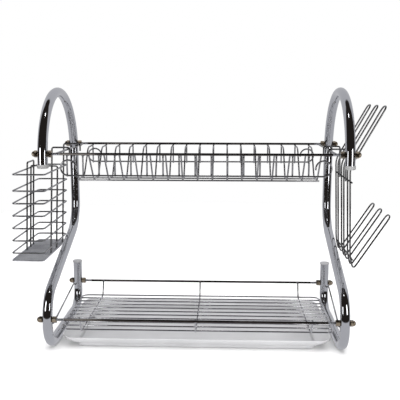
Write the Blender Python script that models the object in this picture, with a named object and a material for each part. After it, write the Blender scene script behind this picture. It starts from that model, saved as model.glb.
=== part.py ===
"""Two-tier dish drying rack: bent side tubes, plate rack, lower shelf, drip tray,
cutlery basket and cup holder.

Units are metres, +Z is up and -Y is the front. The origin is on the worktop,
midway between the two side tubes and below the centre of their arches.
"""
import math

import bmesh
import bpy
from mathutils import Vector

# ---- driving dimensions ----------------------------------------------------
GAP = 0.0003                # clearance between pieces that touch

SIDE_X = 0.216              # plane of each side tube, left and right
TUBE_R = 0.00725
TUBE_WALL = 0.0010
TUBE_SIDES = 12
ARCH_R = 0.098              # top arch, centred over the origin
ARCH_Z = 0.280
FRONT_END_Z = 0.2747        # open front end of the tube
FOOT_Z = TUBE_R * math.cos(math.pi / TUBE_SIDES)   # the foot rests on a flat facet
REAR_BEND_Z = 0.196         # where the rear leg starts to sweep forward
REAR_BEND_R = 0.0537
SWEEP_ANGLE = math.radians(21.1)
FRONT_BEND_Z = 0.0507
FRONT_BEND_R = 0.044
FOOT_R = 0.032
POST_Y = 0.0979             # short rear post at the back of the foot
POST_TOP_Z = 0.0836
POST_BEND_R = 0.030

ROD_R = 0.0020              # threaded tie rods that carry both shelves
ROD_SIDES = 10
TOP_ROD_Z = 0.292
LOW_ROD_Z = 0.050
ROD_HOLE_R = 0.0027
ROD_OVERHANG = 0.0052       # rod past the outside of the tube

NUT_R = 0.0049              # across corners, halved
NUT_BORE_R = 0.0025
NUT_SIDES = 6
CAP_NUT_HEX = 0.0040
CAP_NUT_DOME = 0.0040
INNER_NUT_LENGTH = 0.0058
PLUG_LIP_R = 0.0078
PLUG_LIP = 0.0032
PLUG_STEM = 0.0055
PLUG_PLAY = 0.0006          # stem clearance inside the pipe

WIRE_R = 0.00125
THICK_WIRE_R = 0.0015
LEG_WIRE_R = 0.00135
WIRE_SIDES = 6
WIRE_BEND_R = 0.006
SHARP_ANGLE = math.radians(50.0)
SIDE_WIRE_X = 0.198

DIVIDERS = 17
DIVIDER_PITCH = 0.0228
DIVIDER_FOOT_Z = 0.2595
HUMP_TOP_Z = 0.2892
HUMP_INNER_Y = 0.064
HUMP_R = 0.020
HUMP_TURN = math.radians(50.0)
TROUGH_Z = 0.2465
RIM_WIRE_Z = 0.2612
RIM_WIRE_HALF = 0.180
SCROLL_R = 0.0110
TROUGH_WIRE_Y = 0.0130

SHELF_Z = 0.0285
SHELF_WIRES = 11
SHELF_HALF_X = 0.2038
SHELF_FRONT_Y = -0.0860
SHELF_BACK_Y = 0.0815
SHELF_CORNER_R = 0.012
SHELF_CROSS_X = (-0.170, 0.0, 0.170)
SHELF_TURN = 0.0035         # cross wires turn up this far outside the frame
SHELF_LAP = 1.5 * WIRE_R    # wire centres this far apart are welded
SIDE_GUARD_Z = 0.0432       # straight wires beside the shelf, under the low nuts
SIDE_GUARD_ANGLE = math.radians(30.0)   # where one meets the front of its tube
SIDE_GUARD_PAST = 0.004     # and how far it runs past the rear post's axis

TRAY_WALL = 0.0018
TRAY_HALF_X = 0.2020
TRAY_FLOOR_Z = 0.0005
TRAY_FRONT_Y = -0.0930
TRAY_BACK_Y = 0.1000

BASKET_X_OUT = -0.2695       # faces of the basket at its top ring
BASKET_X_IN = -0.2215
BASKET_Y = (-0.072, 0.069)
BASKET_FLOOR_Z = 0.1285
BASKET_RING_Z = (0.1410, 0.1597, 0.1784, 0.1972, 0.2159, 0.2346, 0.2590)
BASKET_LEAN = 0.006         # the floor hangs this far outside the top ring
BASKET_LAP = 1.3 * WIRE_R   # legs run this far inside the rings' centre line
BASKET_FLOOR_MARGIN = 0.0016
BASKET_FLOOR_WALL = 0.0015
BASKET_FLOOR_CORNER = 0.004
BASKET_BEND_R = 0.0028
BASKET_HANDLE_Z = 0.2695
BASKET_HOOK_Y = (-0.024, 0.050)     # the two hook wires on the inner face
BASKET_HANDLE_Y = (-0.002, 0.033)   # the same wire on the outer face
BASKET_DIVIDER_Y = (0.018, 0.010)   # closed divider loop, outer and inner face
BASKET_DIVIDER_Z = 0.2625

CUP_X = 0.2250              # upright legs at their lower bend
CUP_TOP_X = 0.2205          # and at their upper bend
CUP_UNIT_Y = (-0.066, -0.0155, 0.035)
CUP_HALF_WIDTH = 0.0100
CUP_BEND_Z = 0.2717
CUP_TIP = (0.2684, 0.3584)
CUP_ROOT = (0.2298, 0.1220)
CUP_LOW_TIP = (0.2810, 0.2012)
CUP_ROOT_RISE = 0.020       # where the upright legs turn towards the root
CUP_BEND_R = 0.0085
CUP_HOOK_BEND_R = 0.0022
CUP_CROSS_WIRES = ((0.1375, 0.0028), (0.2505, 0.0019))   # (height, distance outside the legs)
CUP_OVERRUN = 0.004         # cross wire past the outer loops
CUP_HOOK_Y = (-0.041, 0.0098)
CUP_HOOK_FOOT_Z = 0.2475
HOOK_END_Z = 0.2830


# ---- materials ---------------------------------------------------------------
def make_material(name, color, metallic, roughness):
    """A Principled material with one colour."""
    material = bpy.data.materials.new(name)
    material.use_nodes = True
    shader = material.node_tree.nodes["Principled BSDF"]
    shader.inputs["Base Color"].default_value = (*color, 1.0)
    shader.inputs["Metallic"].default_value = metallic
    shader.inputs["Roughness"].default_value = roughness
    return material


# ---- outline helpers ---------------------------------------------------------
def arc(center, radius, start, end, steps):
    """Points of a plane arc, angles in degrees, both ends included."""
    points = []
    for i in range(steps + 1):
        angle = math.radians(start + (end - start) * i / steps)
        points.append((center[0] + radius * math.cos(angle),
                       center[1] + radius * math.sin(angle)))
    return points


def rounded(points, radius, steps=2, closed=False):
    """A 3-D polyline with its corners turned into short curves."""
    count = len(points)
    result = []
    for i, point in enumerate(points):
        corner = Vector(point)
        if not closed and i in (0, count - 1):
            result.append(corner)
            continue
        before = Vector(points[i - 1]) - corner
        after = Vector(points[(i + 1) % count]) - corner
        reach = min(radius, before.length * 0.49, after.length * 0.49)
        first = corner + before.normalized() * reach
        last = corner + after.normalized() * reach
        for k in range(steps + 1):
            t = k / steps
            result.append(first * (1 - t) ** 2 + corner * 2 * t * (1 - t) + last * t ** 2)
    return result


# ---- mesh helpers --------------------------------------------------------------
def ring_frames(path, side=None):
    """A point, side vector and up vector at each path point, without twist."""
    path = [Vector(p) for p in path]
    count = len(path)
    tangents = []
    for i in range(count):
        ahead, behind = path[min(i + 1, count - 1)], path[max(i - 1, 0)]
        tangents.append((ahead - behind).normalized())
    if side is None:
        side = tangents[0].cross(Vector((0.31, 0.52, 0.79))).normalized()
    frames = []
    for point, tangent in zip(path, tangents):
        side = (side - tangent * side.dot(tangent)).normalized()
        frames.append((point, side, tangent.cross(side)))
    return frames


def add_tube(bm, path, radius, sides, bore=0.0, side=None):
    """Sweep a round section along an open path; a bore makes it an open pipe."""
    frames = ring_frames(path, side)

    def skin(size, flip):
        rings = []
        for point, across, up in frames:
            ring = []
            for k in range(sides):
                angle = 2 * math.pi * (k + 0.5) / sides
                offset = across * math.cos(angle) + up * math.sin(angle)
                ring.append(bm.verts.new(point + offset * size))
            rings.append(ring)
        for low, high in zip(rings, rings[1:]):
            for k in range(sides):
                n = (k + 1) % sides
                face = [low[k], low[n], high[n], high[k]]
                bm.faces.new(face[::-1] if flip else face)
        return rings

    outer = skin(radius, False)
    if bore > 0.0:
        inner = skin(bore, True)
        for k in range(sides):
            n = (k + 1) % sides
            bm.faces.new([outer[0][n], outer[0][k], inner[0][k], inner[0][n]])
            bm.faces.new([outer[-1][k], outer[-1][n], inner[-1][n], inner[-1][k]])
    else:
        bm.faces.new(outer[0][::-1])
        bm.faces.new(outer[-1])


def add_loop(bm, path, radius, sides):
    """Sweep a closed path, with the last ring matched to the first by a small twist."""
    frames = ring_frames(list(path) + [path[0]])
    start, end = frames[0], frames[-1]
    tangent = start[1].cross(start[2])
    twist = math.atan2(tangent.dot(end[1].cross(start[1])), end[1].dot(start[1]))
    count = len(path)
    rings = []
    for i in range(count):
        point, side, up = frames[i]
        ring = []
        for k in range(sides):
            angle = 2 * math.pi * k / sides + twist * i / count
            ring.append(bm.verts.new(point + (side * math.cos(angle) + up * math.sin(angle)) * radius))
        rings.append(ring)
    for i in range(count):
        low, high = rings[i], rings[(i + 1) % count]
        for k in range(sides):
            n = (k + 1) % sides
            bm.faces.new([low[k], low[n], high[n], high[k]])


def finish_mesh(name, bm):
    """Turn a bmesh into a mesh with outward faces and smooth round sides."""
    bmesh.ops.recalc_face_normals(bm, faces=bm.faces)
    mesh = bpy.data.meshes.new(name)
    bm.to_mesh(mesh)
    bm.free()
    mesh.shade_smooth()
    mesh.set_sharp_from_angle(angle=SHARP_ANGLE)
    return mesh


def add_object(name, mesh, material, origin=(0.0, 0.0, 0.0), parent=None):
    """Place a mesh drawn in world space as an object with its origin at a point."""
    origin = Vector(origin)
    for vertex in mesh.vertices:
        vertex.co -= origin
    obj = bpy.data.objects.new(name, mesh)
    bpy.context.scene.collection.objects.link(obj)
    obj.data.materials.clear()
    obj.data.materials.append(material)
    obj.location = origin
    if parent is not None:
        obj.parent = parent
        obj.location = origin - parent.location
    return obj


def add_empty(name, location):
    """A parent empty on a joint's axis."""
    empty = bpy.data.objects.new(name, None)
    bpy.context.scene.collection.objects.link(empty)
    empty.location = location
    return empty


def wire_object(name, path, radius, material, sides=WIRE_SIDES, parent=None):
    """One wire as its own object."""
    bm = bmesh.new()
    add_tube(bm, path, radius, sides)
    return add_object(name, finish_mesh(name, bm), material, path[0], parent)


def boolean_mesh(name, base, other, operation):
    """The exact Boolean of two bmeshes, as a new mesh."""
    objects = []
    for label, bm in (("base", base), ("other", other)):
        objects.append(bpy.data.objects.new(label, finish_mesh(label, bm)))
        bpy.context.scene.collection.objects.link(objects[-1])
    modifier = objects[0].modifiers.new("join", "BOOLEAN")
    modifier.operation = operation
    modifier.solver = "EXACT"
    modifier.use_self = operation == "UNION"
    modifier.object = objects[1]
    graph = bpy.context.evaluated_depsgraph_get()
    mesh = bpy.data.meshes.new_from_object(objects[0].evaluated_get(graph))
    mesh.name = name
    for obj in objects:
        bpy.data.objects.remove(obj)
    return mesh


def welded(name, tubes, material, origin, parent=None):
    """Several wires joined into one closed body; each tube is (path, radius, closed)."""
    base, other = bmesh.new(), bmesh.new()
    for i, (path, radius, closed) in enumerate(tubes):
        target = base if i == 0 else other
        if closed:
            add_loop(target, path, radius, WIRE_SIDES)
        else:
            add_tube(target, path, radius, WIRE_SIDES)
    mesh = boolean_mesh(name, base, other, "UNION")
    mesh.shade_smooth()
    mesh.set_sharp_from_angle(angle=SHARP_ANGLE)
    return add_object(name, mesh, material, origin, parent)


# ---- side tubes ------------------------------------------------------------------
def side_profile():
    """The bent tube's centre line as (y, z), from the front end to the post top."""
    points = [(-ARCH_R, FRONT_END_Z)]
    points += arc((0.0, ARCH_Z), ARCH_R, 180, 0, 12)
    turn = math.degrees(math.pi / 2 - SWEEP_ANGLE)
    bend_y = ARCH_R - REAR_BEND_R
    rear = arc((bend_y, REAR_BEND_Z), REAR_BEND_R, 0, -turn, 5)
    points += rear
    start_z = FRONT_BEND_Z + FRONT_BEND_R * math.cos(SWEEP_ANGLE)
    run = (rear[-1][1] - start_z) / math.sin(SWEEP_ANGLE)
    start_y = rear[-1][0] - run * math.cos(SWEEP_ANGLE)
    center_y = start_y + FRONT_BEND_R * math.sin(SWEEP_ANGLE)
    points += arc((center_y, FRONT_BEND_Z), FRONT_BEND_R, 180 - turn, 180, 5)
    front_y = center_y - FRONT_BEND_R
    points += arc((front_y + FOOT_R, FOOT_Z + FOOT_R), FOOT_R, 180, 270, 6)
    points += arc((POST_Y - POST_BEND_R, FOOT_Z + POST_BEND_R), POST_BEND_R, 270, 360, 6)
    points.append((POST_Y, POST_TOP_Z))
    return points, front_y


PROFILE, FRONT_TUBE_Y = side_profile()
TOP_ROD_Y = math.sqrt(ARCH_R ** 2 - (TOP_ROD_Z - ARCH_Z) ** 2)
RODS = {
    "top_front": (-TOP_ROD_Y, TOP_ROD_Z),
    "top_rear": (TOP_ROD_Y, TOP_ROD_Z),
    "low_front": (FRONT_TUBE_Y, LOW_ROD_Z),
    "low_rear": (POST_Y, LOW_ROD_Z),
}


def make_side_tube(name, x, material):
    """A bent pipe with a cross hole for each tie rod."""
    pipe, holes = bmesh.new(), bmesh.new()
    add_tube(pipe, [(x, y, z) for y, z in PROFILE], TUBE_R, TUBE_SIDES,
             TUBE_R - TUBE_WALL, Vector((1.0, 0.0, 0.0)))
    reach = 1.5 * TUBE_R
    for y, z in RODS.values():
        add_tube(holes, [(x - reach, y, z), (x + reach, y, z)], ROD_HOLE_R, 8)
    mesh = boolean_mesh(name, pipe, holes, "DIFFERENCE")
    mesh.shade_smooth()
    mesh.set_sharp_from_angle(angle=SHARP_ANGLE)
    add_object(name, mesh, material, (x, 0.0, FOOT_Z))


def turned(rows, sides, axis_point, direction):
    """A solid of revolution from (distance along axis, radius) rows, closed at both ends."""
    bm = bmesh.new()
    axis = Vector(direction)
    side = axis.orthogonal().normalized()
    up = axis.cross(side)
    rings = []
    for along, radius in rows:
        center = Vector(axis_point) + axis * along
        if radius == 0.0:
            rings.append([bm.verts.new(center)])
            continue
        ring = []
        for k in range(sides):
            angle = 2 * math.pi * (k + 0.5) / sides
            ring.append(bm.verts.new(center + (side * math.cos(angle) + up * math.sin(angle)) * radius))
        rings.append(ring)
    for low, high in zip(rings, rings[1:]):
        for k in range(sides):
            n = (k + 1) % sides
            corners = [low[k % len(low)], low[n % len(low)], high[n % len(high)], high[k % len(high)]]
            bm.faces.new(list(dict.fromkeys(corners)))
    return bm


def make_plug(name, x, y, z, direction, material):
    """A push-in end plug: a lip over the tube's end and a stem inside it."""
    stem_r = TUBE_R - TUBE_WALL - PLUG_PLAY
    rows = [(-PLUG_STEM, 0.0), (-PLUG_STEM, stem_r), (GAP, stem_r), (GAP, PLUG_LIP_R),
            (PLUG_LIP * 0.7, PLUG_LIP_R), (PLUG_LIP, PLUG_LIP_R * 0.8), (PLUG_LIP, 0.0)]
    bm = turned(rows, TUBE_SIDES, (x, y, z), (0.0, 0.0, direction))
    add_object(name, finish_mesh(name, bm), material, (x, y, z))


def make_cap_nut(name, x, y, z, sign, material):
    """A domed nut: hexagon, dome and a blind bore for the rod's end."""
    depth = CAP_NUT_HEX + CAP_NUT_DOME * 0.55
    rows = [(0.0, NUT_BORE_R), (0.0, NUT_R), (CAP_NUT_HEX, NUT_R)]
    for share in (0.0, 0.45, 0.8):
        height = CAP_NUT_DOME * share
        rows.append((CAP_NUT_HEX + 0.0002 + height, NUT_R * 0.86 * math.sqrt(1 - share ** 2)))
    rows.append((CAP_NUT_HEX + CAP_NUT_DOME, 0.0))
    bm = turned(rows, NUT_SIDES, (x, y, z), (sign, 0.0, 0.0))
    bore = turned([(0.0, NUT_BORE_R), (depth, NUT_BORE_R), (depth, 0.0)],
                  NUT_SIDES, (x, y, z), (sign, 0.0, 0.0))
    part = bpy.data.meshes.new("bore")
    bore.to_mesh(part)
    bore.free()
    bm.from_mesh(part)
    bpy.data.meshes.remove(part)
    bmesh.ops.remove_doubles(bm, verts=bm.verts, dist=0.00001)
    add_object(name, finish_mesh(name, bm), material, (x, y, z))


def make_inner_nut(name, x, y, z, sign, material):
    """A plain hexagon nut with a through bore, against the inside of the tube."""
    length = INNER_NUT_LENGTH
    rows = [(0.0, NUT_BORE_R), (0.0, NUT_R), (length * 0.8, NUT_R), (length, NUT_R * 0.86),
            (length, NUT_BORE_R), (0.0, NUT_BORE_R)]
    bm = turned(rows, NUT_SIDES, (x, y, z), (sign, 0.0, 0.0))
    bmesh.ops.remove_doubles(bm, verts=bm.verts, dist=0.00001)
    add_object(name, finish_mesh(name, bm), material, (x, y, z))


def make_frame(chrome, nut_steel, plastic):
    """Both side tubes with their plugs, tie rods and nuts."""
    face = TUBE_R + GAP
    for side, sign in (("left", -1.0), ("right", 1.0)):
        x = sign * SIDE_X
        make_side_tube("side_tube_" + side, x, chrome)
        make_plug("front_plug_" + side, x, -ARCH_R, FRONT_END_Z, -1.0, plastic)
        make_plug("post_plug_" + side, x, POST_Y, POST_TOP_Z, 1.0, plastic)
        for place, (y, z) in RODS.items():
            make_cap_nut("cap_nut_" + place + "_" + side, x + sign * face, y, z, sign, nut_steel)
            make_inner_nut("inner_nut_" + place + "_" + side, x - sign * face, y, z, -sign, nut_steel)
    half = SIDE_X + TUBE_R + ROD_OVERHANG
    for place, (y, z) in RODS.items():
        wire_object("tie_rod_" + place, [(-half, y, z), (half, y, z)], ROD_R, chrome, ROD_SIDES)


# ---- plate rack --------------------------------------------------------------------
def divider_half():
    """Half of a plate divider as (y, z), from its foot to the trough."""
    outer_y = TOP_ROD_Y - ROD_R - GAP - WIRE_R
    center = (HUMP_INNER_Y, HUMP_TOP_Z - HUMP_R)
    turn = 90 + math.degrees(HUMP_TURN)
    points = [(outer_y, DIVIDER_FOOT_Z), (outer_y, HUMP_TOP_Z - 0.003),
              (outer_y - 0.003, HUMP_TOP_Z)]
    points += arc(center, HUMP_R, 90, turn, 3)
    end_y, end_z = points[-1]
    trough_y = end_y - (end_z - TROUGH_Z) / math.tan(HUMP_TURN)
    points += [(trough_y + 0.0015, TROUGH_Z + 0.0018), (trough_y - 0.0020, TROUGH_Z)]
    return points


def make_plate_rack(chrome):
    """Dividers, rim wires with scrolled ends, trough wires and side wires."""
    half = divider_half()
    outline = half + [(-y, z) for y, z in reversed(half)]
    for i in range(DIVIDERS):
        x = (i - (DIVIDERS - 1) / 2) * DIVIDER_PITCH
        wire_object("plate_divider_%02d" % (i + 1), [(x, y, z) for y, z in outline],
                    WIRE_R, chrome)
    rim_y = half[0][0] + 2 * WIRE_R + GAP
    scroll = arc((RIM_WIRE_HALF, RIM_WIRE_Z + SCROLL_R), SCROLL_R, -90, 190, 10)
    rim = [(-x, z) for x, z in reversed(scroll)] + scroll
    trough_z = TROUGH_Z - 2 * WIRE_R - GAP
    side_half = TOP_ROD_Y - ROD_R - GAP
    end = (DIVIDERS - 1) / 2 * DIVIDER_PITCH + 0.004
    for label, sign in (("front", -1.0), ("rear", 1.0)):
        wire_object("rack_rim_wire_" + label, [(x, sign * rim_y, z) for x, z in rim],
                    WIRE_R, chrome)
        wire_object("trough_wire_" + label,
                    [(-end, sign * TROUGH_WIRE_Y, trough_z), (end, sign * TROUGH_WIRE_Y, trough_z)],
                    WIRE_R, chrome)
    for label, sign in (("left", -1.0), ("right", 1.0)):
        wire_object("rack_side_wire_" + label,
                    [(sign * SIDE_WIRE_X, -side_half, TOP_ROD_Z),
                     (sign * SIDE_WIRE_X, side_half, TOP_ROD_Z)], THICK_WIRE_R, chrome)


# ---- lower shelf and tray --------------------------------------------------------------
def make_shelf(chrome):
    """The bottom grille: a frame with long wires, on cross wires that rise to both rods."""
    step = (SHELF_BACK_Y - SHELF_FRONT_Y) / (SHELF_WIRES - 1)
    front = RODS["low_front"][0] + ROD_R + GAP + WIRE_R
    rear = RODS["low_rear"][0] - ROD_R - GAP - WIRE_R
    low = SHELF_Z - SHELF_LAP
    rise = LOW_ROD_Z + ROD_R
    frame = [(sx * SHELF_HALF_X, y, SHELF_Z)
             for sx, y in ((-1, SHELF_FRONT_Y), (1, SHELF_FRONT_Y), (1, SHELF_BACK_Y), (-1, SHELF_BACK_Y))]
    tubes = [(rounded(frame, SHELF_CORNER_R, 3, closed=True), WIRE_R, True)]
    for x in SHELF_CROSS_X:
        corners = [(x, front, rise), (x, SHELF_FRONT_Y - SHELF_TURN, low),
                   (x, SHELF_BACK_Y + SHELF_TURN, low), (x, rear, rise)]
        tubes.append((rounded(corners, WIRE_BEND_R), WIRE_R, False))
    for i in range(1, SHELF_WIRES - 1):
        y = SHELF_FRONT_Y + step * i
        tubes.append(([(-SHELF_HALF_X, y, SHELF_Z), (SHELF_HALF_X, y, SHELF_Z)], WIRE_R, False))
    welded("shelf_grille", tubes, chrome, (0.0, SHELF_FRONT_Y, SHELF_Z))


def make_side_guards(chrome):
    """A straight wire at each end of the shelf, from the front tube to the rear post."""
    reach = TUBE_R + GAP + WIRE_R
    inward = SIDE_X - reach * math.cos(SIDE_GUARD_ANGLE)
    front = FRONT_TUBE_Y + reach * math.sin(SIDE_GUARD_ANGLE)
    for label, sign in (("left", -1.0), ("right", 1.0)):
        wire_object("shelf_side_wire_" + label,
                    [(sign * inward, front, SIDE_GUARD_Z),
                     (sign * (SIDE_X + reach), POST_Y + SIDE_GUARD_PAST, SIDE_GUARD_Z)],
                    WIRE_R, chrome)


def tray_ring(inset_x, inset_y, z, corner):
    """A rounded rectangle around the tray's centre."""
    half_x = TRAY_HALF_X - inset_x
    center_y = (TRAY_FRONT_Y + TRAY_BACK_Y) / 2
    half_y = (TRAY_BACK_Y - TRAY_FRONT_Y) / 2 - inset_y
    points = []
    for sx, sy, start in ((1, 1, 0), (-1, 1, 90), (-1, -1, 180), (1, -1, 270)):
        center = (sx * (half_x - corner), center_y + sy * (half_y - corner))
        points += [(x, y, z) for x, y in arc(center, corner, start, start + 90, 3)]
    return points


def make_tray(plastic):
    """A stepped drip tray with a rolled rim, one closed shell."""
    outside = [(0.0225, 0.012, TRAY_FLOOR_Z, 0.012), (0.0225, 0.012, 0.0070, 0.012),
               (0.0120, 0.006, 0.0078, 0.016), (0.0015, 0.001, 0.0160, 0.020),
               (0.0000, 0.000, 0.0170, 0.021)]
    inside = [(0.0015, 0.0015, 0.0178, 0.020), (0.0035, 0.003, 0.0165, 0.018),
              (0.0135, 0.0075, 0.0096, 0.015), (0.0243, 0.0138, 0.0088, 0.0105),
              (0.0243, 0.0138, TRAY_FLOOR_Z + TRAY_WALL, 0.0105)]
    bm = bmesh.new()
    rings = []
    for row in outside + inside:
        rings.append([bm.verts.new(p) for p in tray_ring(*row)])
    count = len(rings[0])
    for low, high in zip(rings, rings[1:]):
        for k in range(count):
            n = (k + 1) % count
            bm.faces.new([low[k], low[n], high[n], high[k]])
    bm.faces.new(rings[0][::-1])
    bm.faces.new(rings[-1])
    slide = add_empty("tray_slide", (0.0, TRAY_FRONT_Y, TRAY_FLOOR_Z))
    add_object("drip_tray", finish_mesh("drip_tray", bm), plastic, slide.location, slide)


# ---- cutlery basket -----------------------------------------------------------------------
def hook_points(leg_x, y, sign):
    """Corners of a hook from a leg, over the rack's side wire and down behind it."""
    over_z = TOP_ROD_Z + THICK_WIRE_R + GAP + WIRE_R
    inner_x = sign * (SIDE_WIRE_X - THICK_WIRE_R - GAP - WIRE_R)
    return [(leg_x, y, over_z), (inner_x, y, over_z), (inner_x, y, HOOK_END_Z)]


def basket_x(x, z):
    """Shift a place in the basket outwards with its depth, as the basket leans."""
    depth = (BASKET_RING_Z[-1] - z) / (BASKET_RING_Z[-1] - BASKET_FLOOR_Z)
    return x - BASKET_LEAN * depth


def make_basket(chrome, mesh_steel):
    """Wire cage: rings, one long hook wire, a divider loop and a mesh floor."""
    slide = add_empty("basket_slide", (BASKET_X_IN, 0.0, TOP_ROD_Z))
    tubes = []
    front, back = BASKET_Y
    for z in BASKET_RING_Z:
        out_x, in_x = basket_x(BASKET_X_OUT, z), basket_x(BASKET_X_IN, z)
        corners = [(out_x, front, z), (in_x, front, z), (in_x, back, z), (out_x, back, z)]
        tubes.append((rounded(corners, WIRE_BEND_R, closed=True), WIRE_R, True))
    low = BASKET_FLOOR_Z - WIRE_R

    def outer(y, z):
        return (basket_x(BASKET_X_OUT + BASKET_LAP, z), y, z)

    def inner(y, z):
        return (basket_x(BASKET_X_IN - BASKET_LAP, z), y, z)

    first, last = BASKET_HOOK_Y
    near, far = BASKET_HANDLE_Y
    hook_x = inner(0.0, TOP_ROD_Z)[0]
    corners = hook_points(hook_x, first, -1.0)[::-1]
    corners += [inner(first, low), outer(near, low), outer(near, BASKET_HANDLE_Z),
                outer(far, BASKET_HANDLE_Z), outer(far, low), inner(last, low)]
    corners += hook_points(hook_x, last, -1.0)
    tubes.append((rounded(corners, BASKET_BEND_R), LEG_WIRE_R, False))
    y_outer, y_inner = BASKET_DIVIDER_Y
    loop = [outer(y_outer, low), inner(y_inner, low),
            inner(y_inner, BASKET_DIVIDER_Z), outer(y_outer, BASKET_DIVIDER_Z)]
    tubes.append((rounded(loop, BASKET_BEND_R, closed=True), LEG_WIRE_R, True))
    welded("cutlery_basket", tubes, chrome, (BASKET_X_IN, 0.0, TOP_ROD_Z), slide)
    edge = BASKET_LAP + WIRE_R + BASKET_FLOOR_MARGIN
    base_z = BASKET_FLOOR_Z + GAP
    bm = bmesh.new()
    bmesh.ops.create_cube(bm, size=1.0)
    uprights = [e for e in bm.edges if abs(e.verts[0].co.z - e.verts[1].co.z) > 0.5]
    for vertex in bm.verts:
        x = BASKET_X_OUT + edge if vertex.co.x < 0 else BASKET_X_IN - edge
        vertex.co.x = basket_x(x, BASKET_FLOOR_Z)
        vertex.co.y = front + GAP if vertex.co.y < 0 else back - GAP
        vertex.co.z = base_z if vertex.co.z < 0 else base_z + BASKET_FLOOR_WALL
    bmesh.ops.bevel(bm, geom=uprights, offset=BASKET_FLOOR_CORNER, segments=2, affect="EDGES")
    add_object("basket_floor", finish_mesh("basket_floor", bm), mesh_steel,
               (BASKET_X_IN, 0.0, base_z), slide)


# ---- cup holder ------------------------------------------------------------------------------
def cup_x(z):
    """Place of the slightly leaning upright legs at a height."""
    low_z = CUP_ROOT[1] + CUP_ROOT_RISE
    return CUP_X + (CUP_TOP_X - CUP_X) * (z - low_z) / (CUP_BEND_Z - low_z)


def cup_loop(y):
    """A narrow closed loop of wire: upper prong, upright legs and lower prong."""
    profile = [CUP_TIP, (CUP_TOP_X, CUP_BEND_Z), (CUP_X, CUP_ROOT[1] + CUP_ROOT_RISE),
               CUP_ROOT, CUP_LOW_TIP]
    right = [(x, y + CUP_HALF_WIDTH, z) for x, z in profile]
    left = [(x, y - CUP_HALF_WIDTH, z) for x, z in reversed(profile)]
    return rounded(right + left, CUP_BEND_R, 2, closed=True)


def make_cup_holder(chrome):
    """Three wire loops on two cross wires, with two hooks over the side wire."""
    slide = add_empty("cup_holder_slide", (CUP_X, 0.0, TOP_ROD_Z))
    tubes = []
    y_front = CUP_UNIT_Y[0] - CUP_HALF_WIDTH - CUP_OVERRUN
    y_back = CUP_UNIT_Y[-1] + CUP_HALF_WIDTH + CUP_OVERRUN
    for z, shift in CUP_CROSS_WIRES:
        x = cup_x(z) + shift
        tubes.append(([(x, y_front, z), (x, y_back, z)], WIRE_R, False))
    for y in CUP_UNIT_Y:
        tubes.append((cup_loop(y), WIRE_R, True))
    for y in CUP_HOOK_Y:
        corners = [(cup_x(CUP_HOOK_FOOT_Z), y, CUP_HOOK_FOOT_Z)]
        corners += hook_points(cup_x(TOP_ROD_Z), y, 1.0)
        tubes.append((rounded(corners, CUP_HOOK_BEND_R), WIRE_R, False))
    welded("cup_holder", tubes, chrome, (CUP_X, 0.0, TOP_ROD_Z), slide)


# ---- build ---------------------------------------------------------------------------------------
def main():
    for obj in list(bpy.data.objects):
        bpy.data.objects.remove(obj)
    chrome = make_material("chrome", (0.72, 0.73, 0.76), 1.0, 0.12)
    nut_steel = make_material("nut_steel", (0.50, 0.45, 0.38), 1.0, 0.22)
    mesh_steel = make_material("mesh_steel", (0.42, 0.43, 0.46), 1.0, 0.40)
    plug_plastic = make_material("plug_plastic", (0.62, 0.62, 0.62), 0.0, 0.45)
    tray_plastic = make_material("tray_plastic", (0.85, 0.86, 0.86), 0.0, 0.35)
    make_frame(chrome, nut_steel, plug_plastic)
    make_plate_rack(chrome)
    make_shelf(chrome)
    make_side_guards(chrome)
    make_tray(tray_plastic)
    make_basket(chrome, mesh_steel)
    make_cup_holder(chrome)


main()
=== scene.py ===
"""Looks of the dish drying rack: fine meshes, materials, soft studio light and a camera.

Units are metres in the CAD frame: +Z is up, -Y is the front, and the origin is on the
worktop midway between the two side tubes.
"""
import math

import bpy
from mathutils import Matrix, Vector


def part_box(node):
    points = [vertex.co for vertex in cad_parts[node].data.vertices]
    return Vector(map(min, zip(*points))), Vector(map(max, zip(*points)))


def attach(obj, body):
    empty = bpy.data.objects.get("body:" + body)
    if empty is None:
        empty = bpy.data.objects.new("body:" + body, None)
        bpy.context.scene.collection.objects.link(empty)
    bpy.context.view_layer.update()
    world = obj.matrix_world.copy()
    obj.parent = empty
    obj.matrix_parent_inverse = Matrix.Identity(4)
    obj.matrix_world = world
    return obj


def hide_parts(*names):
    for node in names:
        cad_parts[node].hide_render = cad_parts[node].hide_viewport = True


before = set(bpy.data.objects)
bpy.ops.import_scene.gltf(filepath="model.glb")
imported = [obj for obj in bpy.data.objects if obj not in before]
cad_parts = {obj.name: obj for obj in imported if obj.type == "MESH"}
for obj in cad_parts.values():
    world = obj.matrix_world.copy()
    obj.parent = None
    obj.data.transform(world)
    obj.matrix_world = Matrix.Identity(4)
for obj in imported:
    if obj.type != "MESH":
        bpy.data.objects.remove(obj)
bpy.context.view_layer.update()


def middle(node):
    """The centre of a CAD node's box."""
    low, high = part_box(node)
    return (low + high) / 2


# ---- driving dimensions ------------------------------------------------------------------
SIDES = (("left", -1.0), ("right", 1.0))
ALONG = Vector((1.0, 0.0, 0.0))
BACK = Vector((0.0, 1.0, 0.0))
UP = Vector((0.0, 0.0, 1.0))
SKEW = Vector((0.31, 0.52, 0.79))       # a direction that no wire follows
SMOOTH_ANGLE = math.radians(38.0)       # steeper edges stay sharp

SIDE_X = middle("side_tube_right").x
TUBE_R = 0.00725
TUBE_WALL = 0.0010
TUBE_SIDES = 48
ARCH_R = 0.098
ARCH_Z = 0.280
FRONT_END_Z = 0.2747
FOOT_Z = TUBE_R
REAR_BEND_Z = 0.196
REAR_BEND_R = 0.0537
SWEEP_ANGLE = math.radians(21.1)
FRONT_BEND_Z = 0.0507
FRONT_BEND_R = 0.044
FOOT_R = 0.032
POST_Y = middle("post_plug_right").y
POST_TOP_Z = 0.0836
POST_BEND_R = 0.030
DEGREES_PER_RING = 3.0

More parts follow.
